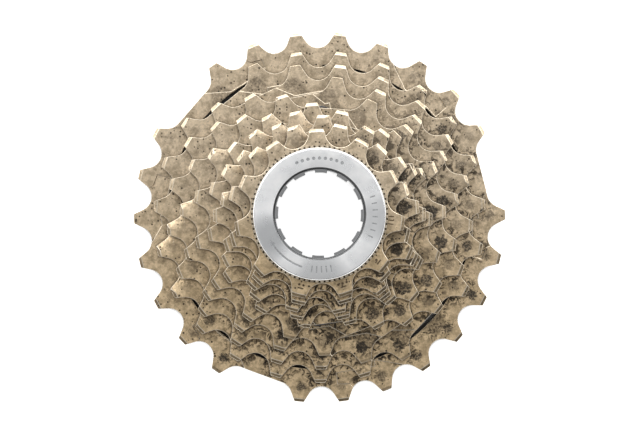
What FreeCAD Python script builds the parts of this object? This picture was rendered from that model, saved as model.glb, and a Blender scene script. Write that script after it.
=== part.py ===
import FreeCAD, Part
import math
import os

import Sketcher
from FreeCAD import Placement, Rotation, Vector

# Ten-speed bicycle cassette, 11 to 26 teeth.
# Frame: millimetres, +Z along the wheel axle towards the lockring, and the origin on the
# axle line in the rear face that seats on the freehub. The 26-tooth sprocket is lowest.
# Every ring turns about Z. A sketch that is turned by an angle less 90 degrees has its own
# +Y at that angle, and its own +X points clockwise there, as seen from the lockring side.

SIZES = {
    # Chain and teeth
    "chain_pitch": 12.7,
    "gap_depth": 3.88,  # pitch circle down to the root circle
    "seat_radius": 4.1,  # where a chain roller sits
    "flank_angle": 58,
    "tip_height": 0.86,  # tooth tip above the pitch circle
    "small_tip_height": 0.55,  # the same on the two smallest sprockets
    "front_tip_width": 0.9,
    "front_tip_drop": 0.5,
    "back_tip_width": 0.6,
    "back_tip_drop": 0.4,
    "recess_depth": 0.45,  # shift ramps sunk into a front face
    "ramp_margin": 0.5,  # between a ramp and the ring's inner edge
    "bevel_angle": 17,
    "cutter_run": 1.5,  # how far a cutting profile runs past the tips
    # Stack along the axle
    "plate_thickness": 1.6,
    "cog_spacing": 3.95,
    "seat_to_cog": 1.0,
    # Freehub splines
    "spline_radius": 17.45,
    "tab_depth": 1.35,
    "tab_width": 4.5,
    "key_tab_width": 2.6,
    # Riveted rings and their carriers
    "rim_width": 5.0,
    "rivet_inset_26t": 4.4,  # ring's inner edge to the rivet line
    "ear_root": 1.25,  # how far an ear runs into its ring
    "ear_gap": 0.3,  # between an ear and the step inside it
    "rivet_spread": 5.4,  # half the distance between an arm's two rivets
    "rivet_radius": 1.6,
    "rivet_wall": 1.3,
    "rivet_clearance": 0.05,
    "rivet_bridge": 0.5,  # between two rivet holes in line along an arm
    "rivet_lip": 0.8,
    "rivet_head_height": 0.7,
    "rivet_crown_inset": 0.96,  # rim of a head to its flat crown
    "rivet_rim_height": 0.21,
    "large_hub_wall": 3.55,
    "small_hub_wall": 3.05,
    # Loose sprockets and spacers
    "spacer_wall": 2.75,
    "boss_wall_12t": 2.4,
    "boss_wall_11t": 0.9,
    # Lockring
    "thread_gap": 0.85,  # spline tabs clear the threaded collar
    "collar_clearance": 0.85,
    "collar_length": 5.6,
    "collar_wall": 3.4,
    "flange_lip": 2.55,
    "flange_thickness": 2.25,
    "flange_edge": 0.35,
    "mouth_width": 0.25,
    "mouth_depth": 0.9,
    "socket_tab_depth": 0.65,
    "socket_tab_angle": 16,
    "socket_floor": 1.4,
    "washer_thickness": 0.5,
    "washer_lip": 0.65,
    "serration_depth": 0.5,
    "serration_width": 0.55,
}

doc = FreeCAD.newDocument("cassette")
dims = doc.addObject("Spreadsheet::Sheet", "dims")
for row, (alias, number) in enumerate(SIZES.items(), start=1):
    dims.set(f"A{row}", alias)
    dims.set(f"B{row}", str(number))
    dims.setAlias(f"B{row}", alias)
doc.recompute()

# Sizes worked out from the sheet, as expressions that features and sketches are bound to
PLATE = "dims.plate_thickness"
STEP = "(dims.cog_spacing - dims.plate_thickness)"
TAB_TIP = "(dims.spline_radius - dims.tab_depth)"
LARGE_HUB = "(dims.spline_radius + dims.large_hub_wall)"
SMALL_HUB = "(dims.spline_radius + dims.small_hub_wall)"
LOBE = "(dims.rivet_radius + dims.rivet_wall)"
RIVET_HOLE = "(dims.rivet_radius + dims.rivet_clearance)"
RIVET_HEAD = "(dims.rivet_radius + dims.rivet_lip)"
THREAD = f"({TAB_TIP} - dims.thread_gap)"
SOCKET = f"({THREAD} - dims.collar_wall)"
FLANGE = f"({THREAD} + dims.flange_lip)"
WASHER = f"({FLANGE} + dims.washer_lip)"

ARMS = 4
FIRST_ARM = 10  # degrees from +X
FREEHUB_SPLINES = 9
SOCKET_SPLINES = 12
FIRST_SOCKET_SPLINE = -2
WASHER_SERRATIONS = 84


def value(expression):
    """The number that an expression of sheet sizes comes to."""
    return float(dims.evalExpression(expression.replace("dims.", "")))


def pitch_radius(teeth):
    return f"(dims.chain_pitch / 2 / sin(180 / {teeth}))"


def root_radius(teeth):
    return f"({pitch_radius(teeth)} - dims.gap_depth)"


def tip_radius(teeth):
    height = "small_tip_height" if teeth < 13 else "tip_height"
    return f"({pitch_radius(teeth)} + dims.{height})"


def ring_bore(teeth):
    return f"({root_radius(teeth)} - dims.rim_width)"


def cog_height(position):
    """Rear face of a sprocket's plate, counted from 0 for the largest."""
    return f"(dims.seat_to_cog + {position} * dims.cog_spacing)"


RIVET_REACH = {26: f"({ring_bore(26)} - dims.rivet_inset_26t)"}
RIVET_REACH[23] = f"({RIVET_REACH[26]} - {LOBE} - {RIVET_HEAD} - dims.ear_gap)"
RIVET_REACH[21] = f"({RIVET_REACH[23]} - 2 * {LOBE} - dims.ear_gap)"
RIVET_REACH[17] = f"({SMALL_HUB} + {LOBE} + dims.ear_gap)"
RIVET_REACH[19] = f"({RIVET_REACH[17]} + 2 * {RIVET_HOLE} + dims.rivet_bridge)"


# Sketches and features


def new_body(label, height="0"):
    body = doc.addObject("PartDesign::Body", label)
    body.Label = label
    body.setExpression("Placement.Base.z", height)
    return body


def new_sketch(body, name, height="0", turn=0.0, plane="XY_Plane"):
    support = [item for item in body.Origin.OriginFeatures if item.Role == plane]
    sketch = body.newObject("Sketcher::SketchObject", name)
    sketch.AttachmentSupport = [(support[0], "")]
    sketch.MapMode = "FlatFace"
    sketch.AttachmentOffset = Placement(Vector(), Rotation(Vector(0, 0, 1), turn))
    if plane == "XY_Plane":
        sketch.setExpression("AttachmentOffset.Base.z", height)
    return sketch


def bind(sketch, name, expression, kind, *where):
    index = sketch.addConstraint(Sketcher.Constraint(kind, *where, value(expression)))
    sketch.renameConstraint(index, name)
    sketch.setExpression(f"Constraints.{name}", expression)


def place_point(sketch, name, geometry, end, x, y):
    """Ties one point of a geometry to its distances from the sketch's axes."""
    for letter, expression, axis in (("X", x, -2), ("Y", y, -1)):
        number = value(expression)
        if abs(number) < 1e-9:
            sketch.addConstraint(Sketcher.Constraint("PointOnObject", geometry, end, axis))
        elif number > 0:
            bind(sketch, name + letter, expression, "Distance" + letter, -1, 1, geometry, end)
        else:
            flipped = f"-({expression})"
            bind(sketch, name + letter, flipped, "Distance" + letter, geometry, end, -1, 1)


def circle(sketch, name, radius, x="0", y="0"):
    centre = Vector(value(x), value(y), 0)
    shape = Part.Circle(centre, Vector(0, 0, 1), value(radius))
    index = sketch.addGeometry(shape, False)
    place_point(sketch, name, index, 3, x, y)
    bind(sketch, name + "_radius", radius, "Radius", index)


def outline(sketch, corners, bends=None):
    """A closed outline through the corners. bends turns side i, which runs from corner i
    to the next one, into an arc, given as its radius and its centre."""
    bends = bends or {}
    points = [Vector(value(x), value(y), 0) for x, y in corners]
    starts = []
    ends = []
    for side, start in enumerate(points):
        finish = points[(side + 1) % len(points)]
        if side in bends:
            radius, centre_x, centre_y = bends[side]
            centre = Vector(value(centre_x), value(centre_y), 0)
            middle = (start + finish) / 2 - centre
            through = centre + middle.normalize() * value(radius)
            index = sketch.addGeometry(Part.Arc(start, through, finish), False)
            anticlockwise = (start - centre).cross(finish - centre).z > 0
        else:
            index = sketch.addGeometry(Part.LineSegment(start, finish), False)
            anticlockwise = True
        starts.append((index, 1 if anticlockwise else 2))
        ends.append((index, 2 if anticlockwise else 1))
    for side, (x, y) in enumerate(corners):
        sketch.addConstraint(Sketcher.Constraint("Coincident", *ends[side - 1], *starts[side]))
        place_point(sketch, f"corner{side}", *starts[side], x, y)
    for side, (radius, _, _) in bends.items():
        bind(sketch, f"bend{side}", radius, "Radius", starts[side][0])


def pad(body, sketch, length):
    feature = body.newObject("PartDesign::Pad", sketch.Name + "_pad")
    feature.Profile = sketch
    feature.setExpression("Length", length)
    return feature


def pocket(body, sketch, length, upwards=False):
    """Cuts down from the sketch, or up from it."""
    feature = body.newObject("PartDesign::Pocket", sketch.Name + "_cut")
    feature.Profile = sketch
    feature.Reversed = upwards
    feature.setExpression("Length", length)
    return feature


def spin(body, kind, sketch):
    """A Revolution or a Groove, once round the sketch's upright axis."""
    feature = body.newObject(f"PartDesign::{kind}", sketch.Name + "_turned")
    feature.Profile = sketch
    feature.ReferenceAxis = (sketch, ["V_Axis"])
    feature.Angle = 360
    return feature


def around(body, features, count, span=360):
    """Repeats features about Z, over a whole turn or over span from first to last."""
    pattern = body.newObject("PartDesign::PolarPattern", features[0].Name + "_round")
    pattern.Originals = features
    axle = [item for item in body.Origin.OriginFeatures if item.Role == "Z_Axis"]
    pattern.Axis = (axle[0], [""])
    pattern.Angle = span
    pattern.Occurrences = count
    body.Tip = pattern
    return pattern


# Splines, arms and teeth


def add_spline_tabs(body, height, length):
    """Nine tabs that slide in the freehub's grooves. One is narrow, so that the
    sprockets only go on one way round."""
    groove_angle = 360 / FREEHUB_SPLINES
    for name, width, turn in (
        ("tab", "dims.tab_width", groove_angle),
        ("key_tab", "dims.key_tab_width", 0),
    ):
        sketch = new_sketch(body, f"{body.Name}_{name}", height, turn)
        half = f"{width} / 2"
        tip = f"sqrt(pow({TAB_TIP}; 2) - pow({half}; 2))"
        root = "(dims.spline_radius + dims.boss_wall_11t / 2)"
        corners = [(half, tip), (half, root), (f"-{half}", root), (f"-{half}", tip)]
        outline(sketch, corners, {3: (TAB_TIP, "0", "0")})
        tab = pad(body, sketch, length)
        if name == "tab":
            around(body, [tab], FREEHUB_SPLINES - 1, 360 - 2 * groove_angle)
    body.Tip = tab


def strap(sketch, reach, flat):
    """A strap along +Y, square at flat and rounded about two rivets at reach."""
    side = "dims.rivet_spread"
    outwards = 1 if value(reach) > value(flat) else -1
    edge = f"({side} + {LOBE})"
    end = f"({reach} + {outwards} * {LOBE})"
    corners = [
        (edge, flat),
        (edge, reach),
        (side, end),
        (f"-{side}", end),
        (f"-{edge}", reach),
        (f"-{edge}", flat),
    ]
    outline(sketch, corners, {1: (LOBE, side, reach), 3: (LOBE, f"-{side}", reach)})


def drill_rivet_holes(body, teeth, length):
    sketch = new_sketch(body, f"{body.Name}_rivet_holes_{teeth}", "0", FIRST_ARM - 90)
    reach = RIVET_REACH[teeth]
    circle(sketch, "left", RIVET_HOLE, "-dims.rivet_spread", reach)
    circle(sketch, "right", RIVET_HOLE, "dims.rivet_spread", reach)
    around(body, [pocket(body, sketch, length, upwards=True)], ARMS)


def cut_gaps(body, teeth, turn, height):
    """Roller seats between the teeth, with straight flanks that lean outwards."""
    root, flank, seat = root_radius(teeth), "dims.flank_angle", "dims.seat_radius"
    side = f"({seat} * sin({flank}))"
    start = f"({root} + {seat} - {seat} * cos({flank}))"
    top = f"({tip_radius(teeth)} + dims.cutter_run)"
    wide = f"({side} + ({top} - {start}) / tan({flank}))"
    corners = [(f"-{side}", start), (side, start), (wide, top), (f"-{wide}", top)]
    sketch = new_sketch(body, f"{body.Name}_gap", height, turn + 180 / teeth - 90)
    outline(sketch, corners, {0: (seat, "0", f"({root} + {seat})")})
    around(body, [pocket(body, sketch, PLATE, upwards=True)], teeth)


def chamfer_tips(body, teeth, height):
    """Thins the tooth tips, more on the front than on the back."""
    tip, run = tip_radius(teeth), "dims.cutter_run"
    for name, face, side in (("front", f"({height} + {PLATE})", -1), ("back", height, 1)):
        width, drop = f"dims.{name}_tip_width", f"dims.{name}_tip_drop"
        sketch = new_sketch(body, f"{body.Name}_{name}_tip", plane="XZ_Plane")
        far = f"({face} + {side} * {drop} * (1 + {run} / {width}))"
        outer = f"({tip} + {run})"
        outline(sketch, [(f"({tip} - {width})", face), (outer, face), (outer, far)])
        spin(body, "Groove", sketch)


def lower_tooth(body, teeth, angle, number, height):
    """Cuts a tooth off straight, from one roller seat to the next."""
    half_step = 180 / teeth
    root = root_radius(teeth)
    side = f"({root} * sin({half_step}))"
    bottom = f"({root} * cos({half_step}))"
    top = f"({tip_radius(teeth)} + dims.cutter_run)"
    sketch = new_sketch(body, f"{body.Name}_low_{number}", height, angle - 90)
    outline(sketch, [(side, bottom), (side, top), (f"-{side}", top), (f"-{side}", bottom)])
    pocket(body, sketch, PLATE, upwards=True)


def sink_ramp(body, teeth, angle, number, height):
    """Sinks the front face clockwise of the tooth at this angle: the next tooth over
    its whole height, and the root of the one after."""
    step = 360 / teeth
    root = root_radius(teeth)
    inner = f"({ring_bore(teeth)} + dims.ramp_margin)"
    outer = f"({tip_radius(teeth)} + dims.cutter_run)"
    # Each corner as a number of tooth steps clockwise, and a radius
    polar = [
        (0.42, root),
        (0.98, inner),
        (2.1, inner),
        (2.1, f"({root} - dims.ramp_margin)"),
        (1.8, root),
        (1.5, outer),
        (0.5, outer),
    ]
    corners = [(f"{r} * sin({t * step})", f"{r} * cos({t * step})") for t, r in polar]
    face = f"({height} + {PLATE})"
    sketch = new_sketch(body, f"{body.Name}_ramp_{number}", face, angle - 90)
    outline(sketch, corners)
    pocket(body, sketch, "dims.recess_depth")


def bevel_tooth(body, teeth, angle, number, height):
    """Slopes a tooth's front face down towards its clockwise flank."""
    root, tip = root_radius(teeth), tip_radius(teeth)
    sketch = new_sketch(body, f"{body.Name}_bevel_{number}")
    turn = Rotation(Vector(0, 0, 1), angle - 90)
    tilt = Rotation(Vector(0, 1, 0), value("dims.bevel_angle"))
    place = turn.multVec(Vector(0, value(root), value(f"{height} + {PLATE}")))
    sketch.setExpression("AttachmentOffset.Base.z", None)
    sketch.AttachmentOffset = Placement(place, turn.multiply(tilt))
    reach = f"({tip} - {root} + dims.cutter_run)"
    half_step = f"({root} * sin({180 / teeth}))"
    low = "-dims.recess_depth"
    corners = [("-dims.recess_depth", low), (half_step, low), (half_step, reach), ("0", reach)]
    outline(sketch, corners)
    pocket(body, sketch, PLATE, upwards=True)


class Cog:
    """One sprocket: its teeth, the angle of its first tooth, and which teeth are cut low,
    sunk into a ramp without a low tooth, or bevelled. Teeth count anticlockwise."""

    def __init__(self, teeth, position, first, low=(), ramps=(), bevels=()):
        self.teeth = teeth
        self.position = position
        self.first = first
        self.low = low
        self.ramps = ramps
        self.bevels = bevels
        self.label = f"sprocket_{teeth}t"

    def angle(self, number):
        return self.first + number * 360 / self.teeth

    def cut_teeth(self, body, height="0"):
        cut_gaps(body, self.teeth, self.first, height)
        chamfer_tips(body, self.teeth, height)
        for number in self.low:
            lower_tooth(body, self.teeth, self.angle(number), number, height)
        for number in self.low + self.ramps:
            sink_ramp(body, self.teeth, self.angle(number), number, height)
        for number in self.bevels:
            bevel_tooth(body, self.teeth, self.angle(number), number, height)


COGS = {
    cog.teeth: cog
    for cog in (
        Cog(26, 0, 0.6, low=(1, 10, 18), ramps=(5, 14, 22)),
        Cog(23, 1, 4.2, low=(8, 20), bevels=(1, 2, 12, 13)),
        Cog(21, 2, 13.5, low=(6, 17), bevels=(0, 10)),
        Cog(19, 3, 6.8, low=(5, 15), bevels=(0, 9)),
        Cog(17, 4, 1.8, low=(4, 13), bevels=(7, 16)),
        Cog(15, 5, 22, low=(2,), bevels=(0, 4, 10)),
        Cog(14, 6, 0.3, bevels=(4, 5, 6)),
        Cog(13, 7, 4.5, bevels=(3, 4, 5, 6)),
        Cog(12, 8, 16.5, bevels=(3, 4)),
        Cog(11, 9, 26.5),
    )
}


# Sub-parts


def riveted_cog(cog):
    """A flat toothed ring with an ear and two rivet holes for each carrier arm."""
    body = new_body(cog.label, cog_height(cog.position))
    blank = new_sketch(body, f"{body.Name}_blank")
    circle(blank, "tips", tip_radius(cog.teeth))
    circle(blank, "bore", ring_bore(cog.teeth))
    pad(body, blank, PLATE)
    ear = new_sketch(body, f"{body.Name}_ear", "0", FIRST_ARM - 90)
    strap(ear, RIVET_REACH[cog.teeth], f"({ring_bore(cog.teeth)} + dims.ear_root)")
    around(body, [pad(body, ear, PLATE)], ARMS)
    drill_rivet_holes(body, cog.teeth, PLATE)
    cog.cut_teeth(body)


def loose_cog(cog):
    """A flat toothed disc that slides on the freehub splines."""
    body = new_body(cog.label, cog_height(cog.position))
    blank = new_sketch(body, f"{body.Name}_blank")
    circle(blank, "tips", tip_radius(cog.teeth))
    circle(blank, "bore", "dims.spline_radius")
    pad(body, blank, PLATE)
    add_spline_tabs(body, "0", PLATE)
    cog.cut_teeth(body)


def bossed_cog(cog, boss_wall, plate_bore):
    """A small sprocket with its spacer in one piece behind the toothed plate."""
    behind = f"({cog_height(cog.position)} - {STEP})"
    body = new_body(cog.label, behind)
    blank = new_sketch(body, f"{body.Name}_blank", STEP)
    circle(blank, "tips", tip_radius(cog.teeth))
    circle(blank, "bore", plate_bore)
    pad(body, blank, PLATE)
    boss = new_sketch(body, f"{body.Name}_boss")
    circle(boss, "outside", f"(dims.spline_radius + {boss_wall})")
    circle(boss, "bore", "dims.spline_radius")
    pad(body, boss, STEP)
    plate_is_splined = plate_bore == "dims.spline_radius"
    add_spline_tabs(body, "0", "dims.cog_spacing" if plate_is_splined else STEP)
    cog.cut_teeth(body, STEP)


def spacer(label, below):
    """A splined plastic ring that fills the space in front of one loose sprocket."""
    body = new_body(label, f"({cog_height(below)} + {PLATE})")
    ring = new_sketch(body, f"{body.Name}_ring")
    circle(ring, "outside", "(dims.spline_radius + dims.spacer_wall)")
    circle(ring, "bore", "dims.spline_radius")
    pad(body, ring, STEP)
    add_spline_tabs(body, "0", STEP)


def carrier(label, place, hub_radius, hub_height, steps):
    """A splined hub with four arms. steps holds, for each step of an arm, the teeth that
    its end is rounded to, its rear face and its thickness; holes go right through."""
    body = new_body(label, place)
    hub = new_sketch(body, f"{body.Name}_hub")
    circle(hub, "outside", hub_radius)
    circle(hub, "bore", "dims.spline_radius")
    pad(body, hub, hub_height)
    arms = []
    for teeth, rear, thickness in steps:
        arm = new_sketch(body, f"{body.Name}_arm_{teeth}", rear, FIRST_ARM - 90)
        strap(arm, RIVET_REACH[teeth], "(dims.spline_radius + dims.ear_gap)")
        arms.append(pad(body, arm, thickness))
    around(body, arms, ARMS)
    add_spline_tabs(body, "0", hub_height)
    return body


def rivets(teeth, place, shank, rear_head=True, front_head=True):
    """Eight rivets in one node, two for each arm. An end without a head is flush."""
    body = new_body(f"rivets_{teeth}t", place)
    body.AllowCompound = True
    radius, head = "dims.rivet_radius", "dims.rivet_head_height"
    crown, rim = f"({RIVET_HEAD} - dims.rivet_crown_inset)", "dims.rivet_rim_height"
    corners = [("0", "0"), (radius, "0"), (radius, shank), ("0", shank)]
    if rear_head:
        corners[0:1] = [
            ("0", f"-{head}"),
            (crown, f"-{head}"),
            (RIVET_HEAD, f"-{rim}"),
            (RIVET_HEAD, "0"),
        ]
    if front_head:
        corners[-1:] = [
            (RIVET_HEAD, shank),
            (RIVET_HEAD, f"({shank} + {rim})"),
            (crown, f"({shank} + {head})"),
            ("0", f"({shank} + {head})"),
        ]
    reach, spread = value(RIVET_REACH[teeth]), value("dims.rivet_spread")
    pair = []
    for name, side in (("left", 1), ("right", -1)):
        # The sketch stands upright in the plane through the axle and this rivet
        sketch = new_sketch(body, f"{body.Name}_{name}", plane="XZ_Plane")
        angle = FIRST_ARM + side * math.degrees(math.atan2(spread, reach))
        turn = Rotation(Vector(0, 1, 0), angle)
        centre = turn.multVec(Vector(math.hypot(reach, spread), 0, 0))
        sketch.AttachmentOffset = Placement(centre, turn)
        outline(sketch, corners)
        pair.append(spin(body, "Revolution", sketch))
    around(body, pair, ARMS)


def lockring():
    """A threaded collar under a flange, with a splined socket for the removal tool."""
    height = "dims.collar_length"
    top = f"({height} + dims.flange_thickness)"
    smallest = cog_height(COGS[11].position)
    place = f"({smallest} + {PLATE} + dims.washer_thickness - {height})"
    body = new_body("lockring", place)
    edge = "dims.flange_edge"
    profile = new_sketch(body, "lockring_profile", plane="XZ_Plane")
    relief = f"({SOCKET} + dims.socket_tab_depth)"
    corners = [
        (relief, "0"),
        (f"({THREAD} - {edge})", "0"),
        (THREAD, edge),
        (THREAD, height),
        (f"({FLANGE} - {edge} / 2)", height),
        (FLANGE, f"({height} + {edge} / 2)"),
        (FLANGE, f"({top} - {edge})"),
        (f"({FLANGE} - {edge})", top),
        (f"({SOCKET} + dims.mouth_width + {edge})", top),
        (f"({SOCKET} + dims.mouth_width)", f"({top} - {edge})"),
        (f"({SOCKET} + dims.mouth_width)", f"({top} - dims.mouth_depth)"),
        (SOCKET, f"({top} - dims.mouth_depth)"),
        (SOCKET, "dims.socket_floor"),
        (relief, "dims.socket_floor"),
    ]
    outline(profile, corners)
    spin(body, "Revolution", profile)
    tab = new_sketch(body, "socket_tab", "dims.socket_floor", FIRST_SOCKET_SPLINE - 90)
    inner = f"({SOCKET} - dims.socket_tab_depth)"
    outer = f"({SOCKET} + {edge})"
    half = "(dims.socket_tab_angle / 2)"
    corners = [
        (f"{inner} * sin({half})", f"{inner} * cos({half})"),
        (f"{outer} * sin({half})", f"{outer} * cos({half})"),
        (f"-{outer} * sin({half})", f"{outer} * cos({half})"),
        (f"-{inner} * sin({half})", f"{inner} * cos({half})"),
    ]
    outline(tab, corners, {1: (outer, "0", "0"), 3: (inner, "0", "0")})
    tab_length = f"({top} - dims.mouth_depth - dims.socket_floor)"
    around(body, [pad(body, tab, tab_length)], SOCKET_SPLINES)


def lockring_washer():
    """A thin ring between the lockring and the smallest sprocket, notched round its rim."""
    body = new_body("lockring_washer", f"({cog_height(COGS[11].position)} + {PLATE})")
    ring = new_sketch(body, "washer_ring")
    circle(ring, "outside", WASHER)
    circle(ring, "bore", f"({THREAD} + dims.collar_clearance)")
    pad(body, ring, "dims.washer_thickness")
    notch = new_sketch(body, "washer_notch")
    half, bottom = "dims.serration_width / 2", f"({WASHER} - dims.serration_depth)"
    top = f"({WASHER} + dims.cutter_run)"
    outline(notch, [(half, bottom), (half, top), (f"-{half}", top), (f"-{half}", bottom)])
    cut = pocket(body, notch, "dims.washer_thickness", upwards=True)
    around(body, [cut], WASHER_SERRATIONS)


# The assembly, from the freehub seat outwards

ARM_REAR = f"({cog_height(COGS[26].position)} + {PLATE})"
small_rear = cog_height(COGS[19].position)
large = carrier(
    "carrier_large",
    "0",
    LARGE_HUB,
    small_rear,
    [(26, ARM_REAR, STEP), (21, ARM_REAR, f"(2 * dims.cog_spacing - {PLATE})")],
)
for ring_teeth in (26, 23, 21):
    drill_rivet_holes(large, ring_teeth, small_rear)
small_hub_height = f"(dims.cog_spacing + {PLATE})"
small = carrier(
    "carrier_small", small_rear, SMALL_HUB, small_hub_height, [(19, PLATE, STEP)]
)
for ring_teeth in (19, 17):
    drill_rivet_holes(small, ring_teeth, small_hub_height)

for ring_teeth in (26, 23, 21, 19, 17):
    riveted_cog(COGS[ring_teeth])
for loose_teeth in (15, 14, 13):
    loose_cog(COGS[loose_teeth])
bossed_cog(COGS[12], "dims.boss_wall_12t", "dims.spline_radius")
bossed_cog(COGS[11], "dims.boss_wall_11t", f"({THREAD} + dims.collar_clearance)")

rivets(26, cog_height(COGS[26].position), "dims.cog_spacing", front_head=False)
rivets(23, ARM_REAR, "dims.cog_spacing")
rivets(21, ARM_REAR, "2 * dims.cog_spacing")
rivets(19, small_rear, "dims.cog_spacing", front_head=False)
rivets(17, f"({small_rear} + {PLATE})", "dims.cog_spacing", rear_head=False)

for behind, before in ((17, 15), (15, 14), (14, 13)):
    spacer(f"spacer_{behind}t_{before}t", COGS[behind].position)
lockring_washer()
lockring()

doc.recompute()

# Every feature must have worked, and every cut must have taken material away
for item in doc.Objects:
    if "Invalid" in item.State or "Error" in item.State:
        raise RuntimeError(f"{item.Name} failed: {item.State}")
    if item.TypeId in ("PartDesign::Pocket", "PartDesign::Groove"):
        removed = item.BaseFeature.Shape.Volume - item.Shape.Volume
        if removed < 0.001:
            raise RuntimeError(f"{item.Name} cuts nothing")

bodies = [item for item in doc.Objects if item.TypeId == "PartDesign::Body"]
for body in bodies:
    if body.Shape.isNull() or not body.Shape.isValid():
        raise RuntimeError(f"{body.Label} has no valid shape")

os.makedirs("parts", exist_ok=True)
for body in bodies:
    body.Shape.exportStep(f"parts/{body.Label}.step")
    print(body.Label, len(body.Shape.Solids), round(body.Shape.Volume, 1))
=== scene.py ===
# %% [markdown]
# # A ten-speed bicycle cassette
# A cassette is a stack of toothed rings. Each ring is stamped from steel plate, nickel
# plated, and its outline follows one rule: a seat for every chain roller, with a tooth
# between each two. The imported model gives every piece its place. This script makes the
# finished look of each piece at that place, and nothing is moved.

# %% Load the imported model
import math

import bmesh
import bpy
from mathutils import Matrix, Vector


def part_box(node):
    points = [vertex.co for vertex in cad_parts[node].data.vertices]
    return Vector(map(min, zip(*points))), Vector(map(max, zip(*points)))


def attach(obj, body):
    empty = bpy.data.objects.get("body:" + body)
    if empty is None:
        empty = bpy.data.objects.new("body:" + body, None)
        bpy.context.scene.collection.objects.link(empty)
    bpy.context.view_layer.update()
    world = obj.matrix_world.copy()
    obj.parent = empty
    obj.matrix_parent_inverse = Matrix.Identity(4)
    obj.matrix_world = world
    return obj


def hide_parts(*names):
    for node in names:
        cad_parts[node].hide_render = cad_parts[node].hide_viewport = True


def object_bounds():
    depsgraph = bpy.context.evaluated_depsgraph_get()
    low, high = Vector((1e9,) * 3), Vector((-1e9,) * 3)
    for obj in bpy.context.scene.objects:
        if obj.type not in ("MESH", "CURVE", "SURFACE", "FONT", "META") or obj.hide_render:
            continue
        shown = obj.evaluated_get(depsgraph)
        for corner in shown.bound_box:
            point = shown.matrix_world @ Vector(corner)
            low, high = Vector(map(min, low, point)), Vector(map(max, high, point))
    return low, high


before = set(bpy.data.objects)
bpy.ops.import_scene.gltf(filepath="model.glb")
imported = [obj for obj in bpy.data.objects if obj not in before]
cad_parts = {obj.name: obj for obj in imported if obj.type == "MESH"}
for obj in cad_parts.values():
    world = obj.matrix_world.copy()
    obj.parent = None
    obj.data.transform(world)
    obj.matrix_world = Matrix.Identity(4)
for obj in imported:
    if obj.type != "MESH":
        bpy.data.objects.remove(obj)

for name in ("Cube", "Light", "Camera"):
    leftover = bpy.data.objects.get(name)
    if leftover:
        bpy.data.objects.remove(leftover)
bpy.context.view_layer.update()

# %% [markdown]
# ## Sizes
# The chain sets nearly everything. Its pitch and the number of teeth give each pitch
# circle, and the teeth stand a little above it. The plate's thickness and the heights come
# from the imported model.

# %% Chain and tooth sizes
MM = 0.001
CHAIN_PITCH = 12.7 * MM
GAP_DEPTH = 3.88 * MM
SEAT_RADIUS = 4.1 * MM
FLANK_ANGLE = math.radians(58)
TIP_HEIGHT = 0.86 * MM
SMALL_TIP_HEIGHT = 0.55 * MM
FRONT_TIP_WIDTH, FRONT_TIP_DROP = 0.9, 0.5  # slopes of a tooth's tip, in mm
BACK_TIP_WIDTH, BACK_TIP_DROP = 0.6, 0.4
RIM_WIDTH = 5.0 * MM
RAMP_MARGIN = 0.5 * MM
RECESS_DEPTH = 0.45 * MM
BEVEL_ANGLE = math.radians(17)
CUTTER_RUN = 1.5 * MM
FIRST_ARM = math.radians(10)
ARMS = 4



def heights(node):
    """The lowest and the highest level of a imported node."""
    low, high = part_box(node)
    return low.z, high.z


plate_low, plate_high = heights("sprocket_26t")
PLATE = plate_high - plate_low
print("plate thickness in mm", round(PLATE / MM, 3))


# %% One sprocket's numbers
class Cog:
    """One sprocket. Teeth count anticlockwise from first, an angle in degrees from +X.
    low teeth are cut off, ramps are sunk beside a whole tooth, bevels are sloped teeth."""

    def __init__(self, teeth, body, first, low=(), ramps=(), bevels=()):
        self.teeth = teeth
        self.node = f"sprocket_{teeth}t"
        self.body = body
        self.first = math.radians(first)
        self.low = low
        self.ramps = ramps
        self.bevels = bevels
        self.step = 2 * math.pi / teeth
        self.pitch_radius = CHAIN_PITCH / 2 / math.sin(self.step / 2)
        self.root = self.pitch_radius - GAP_DEPTH
        self.tip = self.pitch_radius + (SMALL_TIP_HEIGHT if teeth < 13 else TIP_HEIGHT)
        self.ring_bore = self.root - RIM_WIDTH
        self.bottom, self.front = heights(self.node)
        self.rear = self.front - PLATE

    def angle(self, number):
        return self.first + number * self.step


COGS = [
    Cog(26, "large_cluster", 0.6, low=(1, 10, 18), ramps=(5, 14, 22)),
    Cog(23, "large_cluster", 4.2, low=(8, 20), bevels=(1, 2, 12, 13)),
    Cog(21, "large_cluster", 13.5, low=(6, 17), bevels=(0, 10)),
    Cog(19, "small_cluster", 6.8, low=(5, 15), bevels=(0, 9)),
    Cog(17, "small_cluster", 1.8, low=(4, 13), bevels=(7, 16)),
    Cog(15, "loose_15t", 22, low=(2,), bevels=(0, 4, 10)),
    Cog(14, "loose_14t", 0.3, bevels=(4, 5, 6)),
    Cog(13, "loose_13t", 4.5, bevels=(3, 4, 5, 6)),
    Cog(12, "loose_12t", 16.5, bevels=(3, 4)),
    Cog(11, "loose_11t", 26.5),
]
for cog in COGS:
    print(cog.node, "tip radius", round(cog.tip / MM, 2), "front", round(cog.front / MM, 2))


# %% [markdown]
# ## Boxes and wires
# A shape, a finish, the floor and the sky can each be a tree of nodes, which is a list of
# boxes and wires. One small class keeps each step to one line for all of them.

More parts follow.
